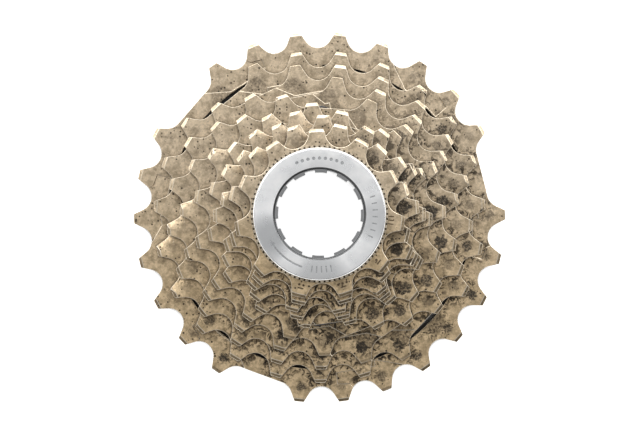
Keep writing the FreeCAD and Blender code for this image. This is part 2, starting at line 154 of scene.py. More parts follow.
# %% Wiring a tree of nodes
class Wiring:
    """A tree of nodes that is built one box at a time."""

    def __init__(self, tree):
        self.tree = tree

    def feed(self, socket, source):
        if isinstance(source, bpy.types.NodeSocket):
            self.tree.links.new(source, socket)
        elif isinstance(source, tuple) and len(source) == 3 and socket.type == "RGBA":
            socket.default_value = (*source, 1.0)
        else:
            socket.default_value = source

    def add(self, kind, inputs=None, **settings):
        node = self.tree.nodes.new(kind)
        for key, setting in settings.items():
            setattr(node, key, setting)
        for socket, source in (inputs or {}).items():
            self.feed(node.inputs[socket], source)
        return node

    def maths(self, operation, *numbers):
        inputs = dict(enumerate(numbers))
        return self.add("ShaderNodeMath", inputs, operation=operation).outputs[0]

    def plus(self, first, second):
        return self.maths("ADD", first, second)

    def minus(self, first, second):
        return self.maths("SUBTRACT", first, second)

    def times(self, first, second):
        return self.maths("MULTIPLY", first, second)

    def over(self, first, second):
        return self.maths("DIVIDE", first, second)

    def blend(self, amount, below, above, mode="MIX"):
        inputs = {0: amount, 6: below, 7: above}
        node = self.add("ShaderNodeMix", inputs, data_type="RGBA", blend_type=mode)
        return node.outputs[2]


# %% [markdown]
# ## Writing Geometry Nodes in a script
# A recipe is such a tree with named inputs, which are set by identifier before the object
# is evaluated. The result is then made a plain mesh, because the model that leaves
# Blender has no modifiers.

# %% A recipe for a Geometry Nodes tree
class Recipe(Wiring):
    """A Geometry Nodes tree whose inputs are numbers, others by their kind, and a material."""

    def __init__(self, name, numbers, **others):
        super().__init__(bpy.data.node_groups.new(name, "GeometryNodeTree"))
        self.tree.is_modifier = True
        sockets = self.tree.interface
        for way in ("OUTPUT", "INPUT"):
            sockets.new_socket("Geometry", in_out=way, socket_type="NodeSocketGeometry")
        kinds = {**dict.fromkeys(numbers.split(), "Float"), **others, "Material": "Material"}
        self.identifiers = {}
        for label, kind in kinds.items():
            new = sockets.new_socket(label, in_out="INPUT", socket_type=f"NodeSocket{kind}")
            self.identifiers[label] = new.identifier
        self.entry = self.tree.nodes.new("NodeGroupInput")
        self.exit = self.tree.nodes.new("NodeGroupOutput")
        self.index = self.add("GeometryNodeInputIndex").outputs[0]

    def value(self, label):
        return self.entry.outputs[label]

    def vector(self, x=0.0, y=0.0, z=0.0):
        return self.add("ShaderNodeCombineXYZ", {0: x, 1: y, 2: z}).outputs[0]

    def turned(self, place, angle):
        """A place turned round the axle."""
        inputs = {"Vector": place, "Angle": angle}
        return self.add("ShaderNodeVectorRotate", inputs, rotation_type="Z_AXIS").outputs[0]

    def moved(self, geometry, **where):
        return self.add("GeometryNodeSetPosition", {0: geometry, **where}).outputs[0]

    def merged(self, geometry):
        inputs = {0: geometry, "Distance": 1e-6}
        return self.add("GeometryNodeMergeByDistance", inputs).outputs[0]

    def row(self, number):
        """That many points, all on the axle."""
        return self.add("GeometryNodeMeshLine", {"Count": number, "Offset": (0, 0, 0)}).outputs[0]

    def copies(self, shape, points, turn=0.0):
        """A copy of an object at each point, turned round the axle."""
        source = self.add("GeometryNodeObjectInfo", {"Object": self.value(shape)})
        inputs = {
            "Points": points,
            "Instance": source.outputs["Geometry"],
            "Rotation": self.vector(0.0, 0.0, turn),
        }
        return self.add("GeometryNodeInstanceOnPoints", inputs).outputs[0]

    def join(self, *parts):
        node = self.add("GeometryNodeJoinGeometry")
        for part in parts:
            self.tree.links.new(part, node.inputs[0])
        return node.outputs[0]

    def end(self, geometry):
        """Makes instances real, sets the material and closes the tree."""
        real = self.add("GeometryNodeRealizeInstances", {0: geometry}).outputs[0]
        painted = self.add("GeometryNodeSetMaterial", {0: real, "Material": self.value("Material")})
        self.tree.links.new(painted.outputs[0], self.exit.inputs[0])
        return self


def new_object(name, data=None):
    """Puts a piece, a lamp or the camera into the scene."""
    piece = bpy.data.objects.new(name, data or bpy.data.meshes.new(name))
    bpy.context.scene.collection.objects.link(piece)
    return piece


def settle(piece):
    """Turns a piece and its modifiers into one plain mesh."""
    graph = bpy.context.evaluated_depsgraph_get()
    made = bpy.data.meshes.new_from_object(piece.evaluated_get(graph), depsgraph=graph)
    piece.modifiers.clear()
    piece.data = made
    return piece


def grow(name, recipe, **values):
    """A piece made by a recipe, as a plain mesh."""
    piece = new_object(name)
    modifier = piece.modifiers.new(recipe.tree.name, "NODES")
    modifier.node_group = recipe.tree
    for label, value in values.items():
        modifier[recipe.identifiers[label]] = value
    return settle(piece)


# %% [markdown]
# ## The toothed outline, by rule
# Every point of the outline has a number, and the rule turns that number into a place.
# Fifteen points make one gap: thirteen go round the roller's seat, and one at each end
# lies where the straight flank meets the tip circle. A low tooth is cut off along the
# straight line between its two seats. The outline and the bore are then filled and
# raised to the plate's thickness.

# %% The rule of the outline
SEAT_STEPS = 12
POINTS_PER_GAP = SEAT_STEPS + 3


def toothed_plate():
    numbers = "First Root Tip Seat Flank Bore Rear Thickness"
    r = Recipe("Toothed plate", numbers, Teeth="Int", LowA="Int", LowB="Int", LowC="Int")
    teeth, seat, flank, tip = (r.value(label) for label in ("Teeth", "Seat", "Flank", "Tip"))
    count = r.times(teeth, POINTS_PER_GAP)
    line = r.add("GeometryNodeCurvePrimitiveCircle", {"Resolution": count, "Radius": tip})
    gap = r.maths("FLOOR", r.over(r.plus(r.index, 0.5), POINTS_PER_GAP))
    within = r.minus(r.index, r.times(gap, POINTS_PER_GAP))
    # From +1 at one end of the seat to -1 at the other, and beyond at the flanks' ends
    half = (POINTS_PER_GAP - 1) / 2
    travel = r.over(r.minus(half, within), SEAT_STEPS / 2)
    side = r.maths("SIGN", travel)
    bounded = r.maths("MINIMUM", r.maths("MAXIMUM", travel, -1.0), 1.0)
    swing = r.times(bounded, flank)
    is_end = r.maths("GREATER_THAN", r.maths("ABSOLUTE", travel), 1.01)
    # The roller's seat
    centre = r.plus(r.value("Root"), seat)
    seat_x = r.times(seat, r.maths("SINE", swing))
    seat_y = r.minus(centre, r.times(seat, r.maths("COSINE", swing)))
    # The straight flank, from the end of the seat out to the tip circle
    cosine, sine = r.maths("COSINE", flank), r.maths("SINE", flank)
    start_x = r.times(seat, sine)
    start_y = r.minus(centre, r.times(seat, cosine))
    along = r.plus(r.times(start_x, cosine), r.times(start_y, sine))
    squared = r.plus(r.times(start_x, start_x), r.times(start_y, start_y))
    beyond = r.minus(r.times(tip, tip), squared)
    root = r.maths("SQRT", r.plus(r.times(along, along), beyond))
    flank_run = r.times(is_end, r.minus(root, along))
    x = r.plus(seat_x, r.times(r.times(side, flank_run), cosine))
    y = r.plus(seat_y, r.times(flank_run, sine))
    # A low tooth stops at the straight line between its seats
    after = r.maths("LESS_THAN", travel, 0.0)
    tooth = r.maths("MODULO", r.plus(gap, after), teeth)
    low = 0.0
    for label in ("LowA", "LowB", "LowC"):
        low = r.maths("MAXIMUM", low, r.maths("COMPARE", tooth, r.value(label), 0.1))
    half_step = r.over(math.pi, teeth)
    drop = r.times(r.maths("ABSOLUTE", x), r.maths("TANGENT", half_step))
    chord = r.maths("MINIMUM", y, r.minus(r.value("Root"), drop))
    y = r.plus(y, r.times(low, r.minus(chord, y)))
    # Each gap is turned to its own place, halfway between two teeth
    turn = r.times(r.plus(gap, 0.5), r.times(half_step, 2.0))
    turn = r.minus(r.plus(turn, r.value("First")), math.pi / 2)
    outline = r.moved(line.outputs[0], Position=r.turned(r.vector(x, y), turn))
    bore = r.add("GeometryNodeCurvePrimitiveCircle", {"Resolution": 180, "Radius": r.value("Bore")})
    curves = r.join(outline, bore.outputs[0])
    flat = r.add("GeometryNodeFillCurve", {0: curves}, mode="TRIANGLES").outputs[0]
    flat = r.moved(flat, Offset=r.vector(0.0, 0.0, r.value("Rear")))
    raised = r.add(
        "GeometryNodeExtrudeMesh",
        {
            "Mesh": flat,
            "Offset": r.vector(0.0, 0.0, 1.0),
            "Offset Scale": r.value("Thickness"),
            "Individual": False,
        },
    )
    back = r.add("GeometryNodeFlipFaces", {0: flat}).outputs[0]
    return r.end(r.merged(r.join(raised.outputs[0], back)))


TOOTHED_PLATE = toothed_plate()
print("tree", TOOTHED_PLATE.tree.name, "has", len(TOOTHED_PLATE.tree.nodes), "nodes")


# %% [markdown]
# ## Solids to cut with
# On the real ring a press cuts the ramps, and a lathe cuts the tips and the bore. Here the
# same shapes are made as solids and taken away with the Boolean modifier. Its manifold
# solver is fast, and it needs closed solids, so each helper below makes one.

# %% Closed solids
def heal(piece, gap=0.001 * MM):
    """Merges double points and turns every face outwards."""
    mesh = bmesh.new()
    mesh.from_mesh(piece.data)
    bmesh.ops.remove_doubles(mesh, verts=mesh.verts, dist=gap)
    bmesh.ops.dissolve_degenerate(mesh, edges=mesh.edges, dist=gap)
    bmesh.ops.recalc_face_normals(mesh, faces=mesh.faces)
    mesh.to_mesh(piece.data)
    mesh.free()
    return piece


def solid(name, corners, faces):
    mesh = bpy.data.meshes.new(name)
    mesh.from_pydata(corners, [], faces)
    return heal(new_object(name, mesh))


def prism(name, outline, low, high):
    """A straight block between two heights."""
    count = len(outline)
    corners = [(x, y, z) for z in (low, high) for x, y in outline]
    faces = [tuple(range(count)), tuple(range(count, 2 * count))]
    for here in range(count):
        after = (here + 1) % count
        faces.append((here, after, after + count, here + count))
    return solid(name, corners, faces)


def lathe(name, profile, steps=180):
    """Turns a closed profile of (radius, height) once round the axle."""
    count = len(profile)
    corners = []
    faces = []
    for step in range(steps):
        angle = 2 * math.pi * step / steps
        corners += [(r * math.cos(angle), r * math.sin(angle), z) for r, z in profile]
        this, that = step * count, (step + 1) % steps * count
        for here in range(count):
            after = (here + 1) % count
            if profile[here][0] > 0 or profile[after][0] > 0:
                faces.append((this + here, that + here, that + after, this + after))
    return solid(name, corners, faces)


def polar(radius, angle):
    return (radius * math.cos(angle), radius * math.sin(angle))


def rectangle(left, right, bottom, top):
    return [(left, bottom), (right, bottom), (right, top), (left, top)]


def disc(radius, centre=(0, 0), steps=32):
    points = [polar(radius, 2 * math.pi * step / steps) for step in range(steps)]
    return [(centre[0] + x, centre[1] + y) for x, y in points]


def cut(piece, tool, operation="DIFFERENCE"):
    """Takes a tool out of a piece, adds it, or keeps only what they share."""
    modifier = piece.modifiers.new("Cut", "BOOLEAN")
    modifier.operation = operation
    modifier.solver = "MANIFOLD"
    modifier.object = tool
    settle(piece)
    bpy.data.objects.remove(tool)
    return piece


def open_edges(piece):
    mesh = bmesh.new()
    mesh.from_mesh(piece.data)
    count = sum(not edge.is_manifold for edge in mesh.edges)
    mesh.free()
    return count


# %% [markdown]
# ## What repeats round the axle
# Arms, splines, serrations, tool tabs and scale marks all repeat about the axle. One
# Geometry Nodes tree does it for any shape: it makes a point for each copy, turns the copy
# by its number, and makes the copies real. Rivets come in pairs at each arm, so they have
# a tree of their own, whose inputs are the arm's own sizes.

# %% Two trees that repeat a shape
def round_the_axle():
    r = Recipe("Round the axle", "First Step", Shape="Object", Count="Int")
    turn = r.plus(r.value("First"), r.times(r.index, r.value("Step")))
    return r.end(r.copies("Shape", r.row(r.value("Count")), turn))


def rivet_pairs():
    r = Recipe("Rivet pairs", "First Reach Spread", Rivet="Object", Arms="Int")
    points = r.row(r.times(r.value("Arms"), 2))
    arm = r.maths("FLOOR", r.over(r.plus(r.index, 0.5), 2))
    right = r.minus(r.index, r.times(arm, 2))
    side = r.minus(1.0, r.times(right, 2))
    step = r.over(2 * math.pi, r.value("Arms"))
    turn = r.plus(r.value("First"), r.times(arm, step))
    beside = r.vector(r.value("Reach"), r.times(side, r.value("Spread")))
    points = r.moved(points, Position=r.turned(beside, turn))
    return r.end(r.copies("Rivet", points))


ROUND_THE_AXLE = round_the_axle()
RIVET_PAIRS = rivet_pairs()


def repeat(shape, count, first=0.0, step=None, material=None):
    """Copies of a shape round the axle as one plain piece. The shape itself is used up."""
    step = 2 * math.pi / count if step is None else step
    values = {"Shape": shape, "Count": count, "First": first, "Step": step}
    if material:
        values["Material"] = material
    copies = grow(shape.name + "_copies", ROUND_THE_AXLE, **values)
    bpy.data.objects.remove(shape)
    return copies


# %% [markdown]
# ## Paint
# A finish is also a tree. This class gives every finish the same start: a place on the
# piece in millimetres, so that a scale of 1 makes grain about a millimetre across.
# Nothing depends on where the camera is.

# %% A recipe for a material
class Paint(Wiring):
    """A material that is built one node at a time on object coordinates."""

    def __init__(self, name, **surface):
        self.material = bpy.data.materials.new(name)
        self.material.use_nodes = True
        super().__init__(self.material.node_tree)
        self.shader = self.tree.nodes["Principled BSDF"]
        self.set(**surface)
        inputs = {0: self.add("ShaderNodeTexCoord").outputs["Object"], "Scale": 1 / MM}
        self.place = self.add("ShaderNodeVectorMath", inputs, operation="SCALE").outputs[0]

    def set(self, **surface):
        for label, source in surface.items():
            self.feed(self.shader.inputs[label.replace("_", " ")], source)

    def noise(self, scale, detail=3.0, roughness=0.55, place=None, distortion=0.0):
        inputs = {
            "Vector": place or self.place,
            "Scale": scale,
            "Detail": detail,
            "Roughness": roughness,
            "Distortion": distortion,
        }
        return self.add("ShaderNodeTexNoise", inputs).outputs["Fac"]

    def ramp(self, number, low, high, out_low=0.0, out_high=1.0):
        """Turns the range low..high of a number smoothly into out_low..out_high."""
        inputs = {
            "Value": number,
            "From Min": low,
            "From Max": high,
            "To Min": out_low,
            "To Max": out_high,
        }
        node = self.add("ShaderNodeMapRange", inputs, interpolation_type="SMOOTHSTEP")
        return node.outputs[0]

    def bump(self, height, depth, strength=1.0, below=None):
        inputs = {"Height": height, "Distance": depth, "Strength": strength}
        if below:
            inputs["Normal"] = below
        return self.add("ShaderNodeBump", inputs).outputs[0]

    def distance(self, across, along):
        squares = (self.maths("POWER", number, 2) for number in (across, along))
        return self.maths("SQRT", self.plus(*squares))

    def axes(self):
        """Radius in mm, angle in radians and height in mm of the place on the piece."""
        x, y, z = self.add("ShaderNodeSeparateXYZ", {0: self.place}).outputs
        return self.distance(x, y), self.maths("ARCTAN2", y, x), z


# %% [markdown]
# ## Used nickel plate
# The rings are plated with satin nickel, which is warm and pale. Use has left its marks on
# it. A thin brown film lies over the lower half, and the sloped tips there carry a painted
# shade. The chain rubs a dark patch on each tooth, a different one each time, and the
# patches grow stronger to the lower right, where a painted shadow of the stack falls. Grime
# mixed with painted shade stays where the next ring's teeth stand over the plate, and a
# painted contact shadow runs as a dark line where the two nearly meet. Small pits are
# spread all over, and the edges are polished brighter. Each is a mask made from the ring's
# own numbers: its tooth angle, its root and the outline of the ring in front.

# %% The nickel finishes
NICKEL = (0.76, 0.62, 0.445)
NICKEL_SHADE = (0.49, 0.395, 0.275)
RUBBED = (0.028, 0.025, 0.021)
# Colour of grime, of pits and of painted shade
GRIME_AND_SHADE_COLOUR = (0.026, 0.018, 0.010)
FILM = (1.0, 0.94, 0.81)
EDGE_NICKEL = (0.80, 0.70, 0.55)
# Colour of the painted shade on the sloped tips below
PAINTED_TIP_SHADE = (0.085, 0.068, 0.048)
# The lower right, where patches and grime are strengthened to paint the stack's shadow
SHADOW_AND_GRIME_SIDE = math.radians(-40)
PATCH_ABOVE_ROOT = 0.3  # in mm, as are the next three
PATCH_RADIUS = 1.35
PATCH_GROWTH = 0.05  # for each tooth fewer than the largest ring has
PATCH_RAGGED = 4.0
RUB_MOST, GRIME_AND_SHADE_MOST, PIT_MOST, TIP_SHADE_MOST = 0.94, 0.93, 0.9, 0.55


def clear_of(p, radius, angle, cog):
    """How far in mm a place lies outside a sprocket's outline, by the outline's own rule."""
    seat, centre = SEAT_RADIUS / MM, (cog.root + SEAT_RADIUS) / MM
    turn = p.minus(p.over(p.minus(angle, cog.first), cog.step), 0.5)
    off = p.times(p.minus(turn, p.maths("ROUND", turn)), cog.step)
    across = p.maths("ABSOLUTE", p.times(radius, p.maths("SINE", off)))
    down = p.minus(centre, p.times(radius, p.maths("COSINE", off)))
    past_seat = p.minus(p.maths("ARCTAN2", across, down), FLANK_ANGLE)
    past_seat = p.maths("MAXIMUM", past_seat, 0.0)
    in_gap = p.minus(seat, p.times(p.distance(across, down), p.maths("COSINE", past_seat)))
    return p.maths("MAXIMUM", in_gap, p.minus(radius, cog.tip / MM))


def rubbed_patches(p, radius, angle, cog, below_right):
    """Where the chain rubs each tooth: a ragged patch above the root, of its own strength, made
    stronger towards the lower right as a painted shadow of the stack.
    """
    turn = p.over(p.minus(angle, cog.first), cog.step)
    tooth = p.maths("ROUND", turn)
    across = p.times(p.minus(turn, tooth), cog.step * cog.root / MM)
    reach = p.distance(across, p.minus(radius, cog.root / MM + PATCH_ABOVE_ROOT))
    ragged = p.plus(reach, p.times(p.minus(p.noise(0.9, 5.0, 0.65), 0.5), PATCH_RAGGED))
    size = PATCH_RADIUS + PATCH_GROWTH * (COGS[0].teeth - cog.teeth)
    lap = p.maths("ROUND", p.maths("FLOORED_MODULO", tooth, cog.teeth))
    seed = {"W": p.plus(lap, cog.teeth)}
    chance = p.add("ShaderNodeTexWhiteNoise", seed, noise_dimensions="1D").outputs[0]
    # Stronger towards the lower right: a painted shadow of the stack
    spread = p.ramp(below_right, 0.0, 1.0, 0.45, 1.1)
    strength = p.plus(p.times(chance, spread), p.times(below_right, 0.35))
    if cog is COGS[-1]:
        strength = p.times(strength, 0.3)
    blots = p.ramp(p.noise(2.0, 5.0, 0.75), 0.40, 0.56, 0.42, 1.0)
    return p.times(p.ramp(ragged, size + 0.35, size - 0.35), p.times(blots, strength))


def nickel(cog, ahead):
    p = Paint(f"nickel_{cog.teeth}t")
    radius, angle, height = p.axes()
    below = p.ramp(p.maths("SINE", angle), 0.5, -0.7)
    # Towards the lower right, where patches and grime carry a painted shadow of the stack
    below_right = p.ramp(p.maths("COSINE", p.minus(angle, SHADOW_AND_GRIME_SIDE)), -1.0, 1.0)
    on_face = p.ramp(height, (cog.front - 0.6 * PLATE) / MM, (cog.front - 0.5 * PLATE) / MM)
    # Clouds in the plating, and a brown film that is thicker below
    clouds = p.noise(0.16 + 0.01 * cog.teeth, 5.0, 0.65)
    colour = p.blend(p.ramp(clouds, 0.36, 0.62), NICKEL_SHADE, NICKEL)
    mottle = p.noise(1.5, 4.0, 0.7)
    colour = p.blend(1.0, colour, p.ramp(mottle, 0.3, 0.7, 0.82, 1.10), "MULTIPLY")
    colour = p.blend(below, colour, p.blend(1.0, colour, FILM, "MULTIPLY"))
    rub = rubbed_patches(p, radius, angle, cog, below_right)
    rub = p.maths("MINIMUM", p.times(rub, on_face), RUB_MOST)
    colour = p.blend(rub, colour, RUBBED)
    # Grime mixed with painted shade along the outline of the ring in front, and a painted contact
    # shadow as a dark line where the two nearly meet
    spots = p.ramp(p.noise(0.6, 6.0, 0.72, distortion=0.8), 0.485, 0.56)
    if ahead:
        gap = clear_of(p, radius, angle, ahead)
        # shade weights the grime towards the lower right, as a painted shadow of the stack
        shade = p.ramp(below_right, 0.0, 0.9, 0.35, 1.0)
        grime_and_shade = p.times(spots, p.times(p.ramp(gap, 3.8, 1.0, 0.16, 1.0), shade))
        # line is a painted contact shadow beside the outline of the ring in front
        line = p.times(p.ramp(gap, 0.95, 0.25), p.ramp(mottle, 0.35, 0.60, 0.15, 0.75))
        grime_and_shade = p.maths("MAXIMUM", grime_and_shade, line)
    else:
        # On the smallest ring: faint grime spots, and a painted shade inside 18.5 mm, under the
        # washer, which shows dark through its notches
        grime_and_shade = p.maths("MAXIMUM", p.times(spots, 0.15), p.ramp(radius, 18.6, 18.4))
    colour = p.blend(p.times(grime_and_shade, GRIME_AND_SHADE_MOST), colour, GRIME_AND_SHADE_COLOUR)
    # Painted shade darkens the sloped tips in the lower half
    slope = p.ramp(radius, cog.tip / MM - 1.0, cog.tip / MM - 0.8)
    painted_tip_shade = p.times(p.times(slope, on_face), p.times(below, TIP_SHADE_MOST))
    colour = p.blend(painted_tip_shade, colour, PAINTED_TIP_SHADE)
    # Pits, in loose clusters
    cells = p.add("ShaderNodeTexVoronoi", {"Vector": p.place, "Scale": 1.1, "Randomness": 1.0})
    size = p.add("ShaderNodeSeparateColor", {0: cells.outputs["Color"]}).outputs[0]
    cluster = p.ramp(p.noise(0.22, 3.0), 0.42, 0.58, 0.30, 1.0)
    limit = p.times(p.ramp(size, 0.20, 0.95, 0.0, 0.33), cluster)
    hole = p.maths("LESS_THAN", cells.outputs["Distance"], limit)
    colour = p.blend(p.times(hole, PIT_MOST), colour, GRIME_AND_SHADE_COLOUR)
    # What is dirty or carries painted shade is duller, and what is pitted is lower
    dull = p.maths("MINIMUM", p.plus(p.maths("MAXIMUM", rub, grime_and_shade), hole), 1.0)
    fine = p.noise(3.4, 4.0, 0.6)
    rough = p.plus(p.times(fine, 0.16), p.times(dull, 0.28))
    relief = p.minus(p.plus(fine, p.noise(0.7, 2.0)), p.times(hole, 1.2))
    p.set(
        Base_Color=colour,
        Roughness=p.plus(rough, 0.28),
        Metallic=p.minus(1.0, p.times(dull, 0.6)),
        Normal=p.bump(relief, 0.05 * MM, 0.8),
    )
    return p.material


def worn_edge(name, colour, roughness):
    """The polished metal on an edge, a little uneven along its length."""
    p = Paint(name, Metallic=1.0)
    patches = p.noise(0.8, 3.0)
    p.set(
        Base_Color=p.blend(p.ramp(patches, 0.3, 0.7), tuple(0.8 * part for part in colour), colour),
        Roughness=p.ramp(patches, 0.3, 0.7, roughness + 0.12, roughness),
    )
    return p.material


NICKEL_EDGE = worn_edge("worn_nickel_edge", EDGE_NICKEL, 0.26)
NICKEL_OF = {cog.teeth: nickel(cog, ahead) for cog, ahead in zip(COGS, [*COGS[1:], None])}
print("nickel finishes", len(NICKEL_OF))


# %% [markdown]
# ## Finishing a piece
# No stamped or turned edge is sharp. A small rounding is what catches the light along
# every valley and tip, so each piece gets one, with a brighter finish on the rounding.
# Flat faces are joined first, so that the rounding follows real edges only.

# %% Rounding the edges
SHARP = math.radians(28)
FLAT = math.radians(0.6)
STEEL_ROUNDING = 0.12 * MM
CARRIER_ROUNDING = 0.22 * MM
SPACER_ROUNDING = 0.25 * MM
WASHER_ROUNDING = 0.04 * MM
LOCKRING_ROUNDING = 0.09 * MM


def round_edges(piece, width, finish, edge_finish=None, merge=0.01 * MM):
    """Joins flat faces, rounds sharp edges and gives the piece its finishes."""
    mesh = bmesh.new()
    mesh.from_mesh(piece.data)
    bmesh.ops.remove_doubles(mesh, verts=mesh.verts, dist=merge)
    bmesh.ops.dissolve_degenerate(mesh, edges=mesh.edges, dist=merge)
    bmesh.ops.dissolve_limit(
        mesh, angle_limit=FLAT, verts=mesh.verts, edges=mesh.edges, delimit={"NORMAL"}
    )
    bmesh.ops.triangulate(mesh, faces=mesh.faces)
    for face in mesh.faces:
        face.material_index = 0
        face.smooth = True
    mesh.to_mesh(piece.data)
    mesh.free()
    piece.data.materials.clear()
    piece.data.materials.append(finish)
    piece.data.materials.append(edge_finish or finish)
    bevel = piece.modifiers.new("Rounding", "BEVEL")
    bevel.width = width
    bevel.segments = 2
    bevel.angle_limit = SHARP
    bevel.use_clamp_overlap = False
    bevel.loop_slide = False
    bevel.harden_normals = True
    bevel.material = 1
    settle(piece)
    return piece


def folded(piece):
    """Counts triangles that face the other way from the face they belong to."""
    mesh = piece.data
    mesh.calc_loop_triangles()
    return sum(t.normal.dot(mesh.polygons[t.polygon_index].normal) < 0 for t in mesh.loop_triangles)


def deliver(piece, node, body):
    """Hands a finished piece over: it stands for a node and rides on a body."""
    piece.name = node + "_finish"
    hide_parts(node)
    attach(piece, body)
    faces = len(piece.data.polygons)
    print(piece.name, "faces", faces, "open edges", open_edges(piece), "folded", folded(piece))
    return piece


# %% [markdown]
# ## The sprockets
# Every ring starts as the toothed plate. The five large rings have ears that are riveted
# to a carrier, and the five small ones slide straight on the splines. The two smallest
# have their spacer in one piece behind the plate. Cuts follow in the order of the real
# work: tips thinned, ramps sunk, teeth sloped, holes drilled.

# %% Sizes of the bores, splines and arms
SPLINE_RADIUS = 17.45 * MM
TAB_TIP = 16.1 * MM
TAB_WIDTH = 4.5 * MM
KEY_TAB_WIDTH = 2.6 * MM
SPLINES = 9
PLATE_BORE_11T = 16.1 * MM
BOSS_WALLS = {12: 2.4 * MM, 11: 0.9 * MM}
RIVET_RADIUS = 1.6 * MM
RIVET_HOLE = RIVET_RADIUS + 0.05 * MM
RIVET_HEAD = 2.4 * MM
HEAD_HEIGHT = 0.7 * MM
RIVET_SPREAD = 5.4 * MM
LOBE = RIVET_RADIUS + 1.3 * MM
EAR_ROOT = 1.25 * MM
EAR_GAP = 0.3 * MM
RIVET_INSET = 4.4 * MM
RIVET_BRIDGE = 0.5 * MM
SMALL_HUB = 20.5 * MM

ring = {cog.teeth: cog for cog in COGS}
RIVET_REACH = {26: ring[26].ring_bore - RIVET_INSET}
RIVET_REACH[23] = RIVET_REACH[26] - LOBE - RIVET_HEAD - EAR_GAP
RIVET_REACH[21] = RIVET_REACH[23] - 2 * LOBE - EAR_GAP
RIVET_REACH[17] = SMALL_HUB + LOBE + EAR_GAP
RIVET_REACH[19] = RIVET_REACH[17] + 2 * RIVET_HOLE + RIVET_BRIDGE
for teeth, reach in RIVET_REACH.items():
    print(teeth, "rivets at", round(reach / MM, 2))


# %% Cutters for the teeth
def thin_tips(plate, cog):
    """Keeps what is inside a lens whose rim is the slope of the tips, front and back."""
    over = 1.0 * MM
    front_slope, back_slope = FRONT_TIP_DROP / FRONT_TIP_WIDTH, BACK_TIP_DROP / BACK_TIP_WIDTH
    front_start, back_start = cog.tip - FRONT_TIP_WIDTH * MM, cog.tip - BACK_TIP_WIDTH * MM
    thin = PLATE - (FRONT_TIP_DROP + BACK_TIP_DROP) * MM
    rim = thin / (front_slope + back_slope)
    profile = [
        (0.0, cog.rear - over),
        (back_start - over / back_slope, cog.rear - over),
        (cog.tip + rim, cog.rear + BACK_TIP_DROP * MM + back_slope * rim),
        (front_start - over / front_slope, cog.front + over),
        (0.0, cog.front + over),
    ]
    return cut(plate, lathe("lens", profile, steps=360), "INTERSECT")


def sink_ramp(plate, cog, number):
    """Sinks the face of the tooth clockwise of this one, and the root of the one after."""
    inner, outer = cog.ring_bore + RAMP_MARGIN, cog.tip + CUTTER_RUN
    # How many teeth clockwise each corner stands, and how far out
    corners = [(0.42, cog.root), (0.98, inner), (1.54, inner), (2.1, inner)]
    corners += [(2.1, cog.root - RAMP_MARGIN), (1.8, cog.root), (1.5, outer), (0.5, outer)]
    outline = [polar(radius, cog.angle(number) - steps * cog.step) for steps, radius in corners]
    return cut(plate, prism("ramp", outline, cog.front - RECESS_DEPTH, cog.front + MM))


def slope_tooth(plate, cog, number):
    """Slopes a tooth's face down towards its clockwise flank."""
    angle = cog.angle(number)
    outwards = Vector((math.cos(angle), math.sin(angle), 0))
    clockwise = Vector((math.sin(angle), -math.cos(angle), 0))
    corners = []
    for along in (cog.root - RECESS_DEPTH, cog.tip + CUTTER_RUN):
        for across in (-RECESS_DEPTH, cog.root * math.sin(cog.step / 2)):
            place = outwards * along + clockwise * across
            drop = math.tan(BEVEL_ANGLE) * across
            corners += [(*place.xy, cog.front - drop), (*place.xy, cog.front + MM)]
    faces = [(0, 1, 3, 2), (4, 6, 7, 5), (0, 4, 5, 1), (2, 3, 7, 6), (1, 5, 7, 3), (0, 2, 6, 4)]
    return cut(plate, solid("slope", corners, faces))


# %% Straps, holes and splines
def strap(reach, flat, low, high):
    """An arm's end along +Y: square at flat, rounded about two rivets at reach."""
    outwards = 1 if reach > flat else -1
    half = [(RIVET_SPREAD + LOBE, flat)]
    for step in range(9):
        x, y = polar(LOBE, math.pi / 2 * step / 8)
        half.append((RIVET_SPREAD + x, reach + outwards * y))
    outline = half + [(-x, y) for x, y in reversed(half)]
    return prism("strap", outline, low, high)


def drill_rivet_holes(piece, teeth, low, high):
    reach = RIVET_REACH[teeth]
    for side in (-1, 1):
        hole = prism("hole", disc(RIVET_HOLE, (reach, side * RIVET_SPREAD), 24), low, high)
        cut(piece, repeat(hole, ARMS, FIRST_ARM))
    return piece


def spline_tab(name, width, low, high):
    """A tab from inside the ring in to the tab tips, along +Y, with a curved end."""
    inner = [polar(TAB_TIP, math.pi / 2 + math.asin(width / 2 / TAB_TIP) * t) for t in (-1, 0, 1)]
    root = SPLINE_RADIUS + BOSS_WALLS[11] / 2
    return prism(name, [*inner, (-width / 2, root), (width / 2, root)], low, high)


def add_splines(piece, low, high):
    """Nine tabs, one of them narrow, so that the rings go on only one way round."""
    groove = 2 * math.pi / SPLINES
    wide = repeat(spline_tab("tab", TAB_WIDTH, low, high), SPLINES - 1, groove, groove)
    cut(piece, wide, "UNION")
    return cut(piece, spline_tab("key_tab", KEY_TAB_WIDTH, low, high), "UNION")


